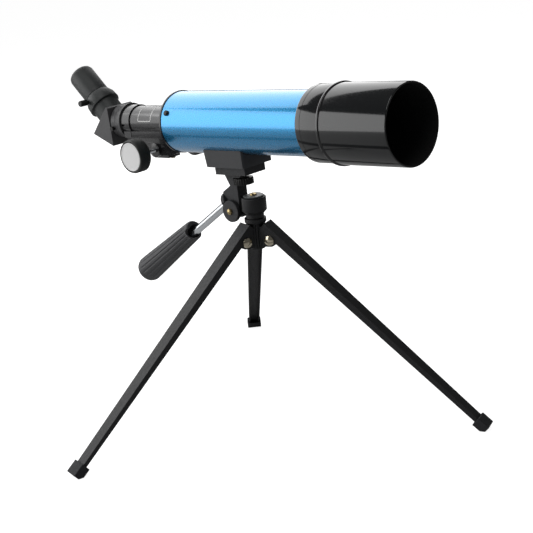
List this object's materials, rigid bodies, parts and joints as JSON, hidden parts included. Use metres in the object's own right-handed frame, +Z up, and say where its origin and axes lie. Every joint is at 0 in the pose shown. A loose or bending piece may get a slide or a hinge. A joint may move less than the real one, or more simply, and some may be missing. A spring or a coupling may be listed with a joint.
{
  "type": "tabletop telescope",
  "caption": "Small refracting telescope with a blue tube, rack-and-pinion focuser and angled eyepiece, on a pan-and-tilt head with a handle and folding channel legs.",
  "frame": {"origin": "on the table, under the middle of the object's bounding box with the legs spread", "axes": "+Z up, +X the way the objective points, so the eyepiece and the handle are towards -X"},
  "size_m": [0.4474, 0.3574, 0.3231],
  "materials": {
    "tube_paint": "gloss",
    "gloss_black": "gloss",
    "focuser_black": "gloss",
    "screw_black": "satin",
    "inner_black": "matte",
    "glass": "polished",
    "collar_plastic": "satin",
    "diagonal_plastic": "matte",
    "holder_plastic": "matte",
    "eyepiece_plastic": "matte",
    "knob_plastic": "satin",
    "knob_inlay": "satin",
    "chrome": "polished",
    "nickel": "polished",
    "brass": "polished",
    "saddle_plastic": "satin",
    "head_plastic": "matte",
    "washer_grey": "satin",
    "powder_coat": "matte",
    "grip_plastic": "satin",
    "foot_rubber": "matte"
  },
  "bodies": {
    "stand": {"hub_casting": "powder_coat", "pan_screw": "brass", "leg_rivet_left": "nickel", "leg_rivet_right": "nickel", "leg_rivet_rear": "nickel"},
    "leg_left": {"leg_left": "powder_coat", "foot_left": "foot_rubber"},
    "leg_right": {"leg_right": "powder_coat", "foot_right": "foot_rubber"},
    "leg_rear": {"leg_rear": "powder_coat", "foot_rear": "foot_rubber"},
    "pan_head": {"pan_column": "powder_coat", "pan_washer": "washer_grey", "tilt_disc": "head_plastic", "tilt_bolt": "brass", "tilt_nut": "nickel"},
    "tube": {"tilt_platform": "head_plastic", "lock_collar": "head_plastic", "saddle_block": "saddle_plastic", "main_tube": "tube_paint", "tube_baffle": "inner_black", "objective_cell": "gloss_black", "flint_lens": "glass", "lens_spacer": "inner_black", "crown_lens": "glass", "lens_retainer": "gloss_black", "focuser_housing": "focuser_black", "pinion_cover": "focuser_black", "pinion_cover_screw_1": "nickel", "pinion_cover_screw_2": "nickel", "focuser_screw_1": "screw_black", "focuser_screw_2": "screw_black", "focuser_screw_3": "screw_black"},
    "dew_shield": {"dew_shield": "gloss_black"},
    "handle": {"handle_rod": "chrome", "handle_grip": "grip_plastic"},
    "platform_screw": {"platform_screw": "screw_black"},
    "drawtube": {"draw_tube": "chrome", "focus_rack": "brass", "drawtube_collar": "collar_plastic", "collar_screw": "screw_black"},
    "pinion": {"pinion_shaft": "chrome", "focus_knob_near": "knob_plastic", "knob_inlay_near": "knob_inlay", "focus_knob_far": "knob_plastic", "knob_inlay_far": "knob_inlay"},
    "diagonal": {"diagonal_housing": "diagonal_plastic", "diagonal_prism": "glass", "diagonal_nose": "chrome", "eyepiece_holder": "holder_plastic"},
    "holder_screw": {"holder_thumbscrew": "knob_plastic"},
    "eyepiece": {"eyepiece_barrel": "chrome", "eyepiece_body": "eyepiece_plastic", "field_lens": "glass", "eye_lens": "glass"}
  },
  "joints": [
    {"name": "pan", "type": "hinge", "parent": "stand", "child": "pan_head", "pos_m": [0.01885, 0.03365, 0.19], "axis": [0, 0, 1], "continuous": true},
    {"name": "tilt", "type": "hinge", "parent": "pan_head", "child": "tube", "pos_m": [-0.00315, 0.03365, 0.191], "axis": [0, -1, 0], "range_deg": [-15, 50]},
    {"name": "handle_twist", "type": "hinge", "parent": "tube", "child": "handle", "pos_m": [-0.01084, 0.03365, 0.1982], "axis": [-0.8159, 0, -0.5781], "continuous": true},
    {"name": "platform_screw_turn", "type": "hinge", "parent": "tube", "child": "platform_screw", "pos_m": [0.00844, 0.03365, 0.21954], "axis": [-0.0788, 0, 0.9969], "continuous": true},
    {"name": "focus_knob_turn", "type": "hinge", "parent": "tube", "child": "pinion", "pos_m": [-0.09532, 0.03365, 0.24023], "axis": [0, -1, 0], "range_deg": [0, 382]},
    {"name": "drawtube_slide", "type": "slide", "parent": "tube", "child": "drawtube", "axis": [-0.9969, 0, -0.0788], "range_m": [0, 0.04]},
    {"name": "diagonal_turn", "type": "hinge", "parent": "drawtube", "child": "diagonal", "pos_m": [-0.15062, 0.03365, 0.26093], "axis": [-0.9969, 0, -0.0788], "continuous": true},
    {"name": "holder_screw_turn", "type": "hinge", "parent": "diagonal", "child": "holder_screw", "pos_m": [-0.18885, 0.01365, 0.27962], "axis": [0, -1, 0], "continuous": true},
    {"name": "eyepiece_slide", "type": "slide", "parent": "diagonal", "child": "eyepiece", "axis": [-0.7606, 0, 0.6492], "range_m": [0, 0.022]},
    {"name": "dew_shield_slide", "type": "slide", "parent": "tube", "child": "dew_shield", "axis": [0.9969, 0, 0.0788], "range_m": [0, 0.06]},
    {"name": "leg_left_fold", "type": "hinge", "parent": "stand", "child": "leg_left", "pos_m": [0.01595, 0.01812, 0.167], "axis": [0.9831, -0.1833, 0], "range_deg": [0, 49.9]},
    {"name": "leg_right_fold", "type": "hinge", "parent": "stand", "child": "leg_right", "pos_m": [0.03375, 0.03891, 0.167], "axis": [-0.3328, 0.943, 0], "range_deg": [0, 49.9]},
    {"name": "leg_rear_fold", "type": "hinge", "parent": "stand", "child": "leg_rear", "pos_m": [0.00685, 0.04392, 0.167], "axis": [-0.6502, -0.7597, 0], "range_deg": [0, 49.9]}
  ],
  "couplings": [
    {"joint": "focus_knob_turn", "follows": "drawtube_slide", "rad_per_m": 166.67}
  ]
}
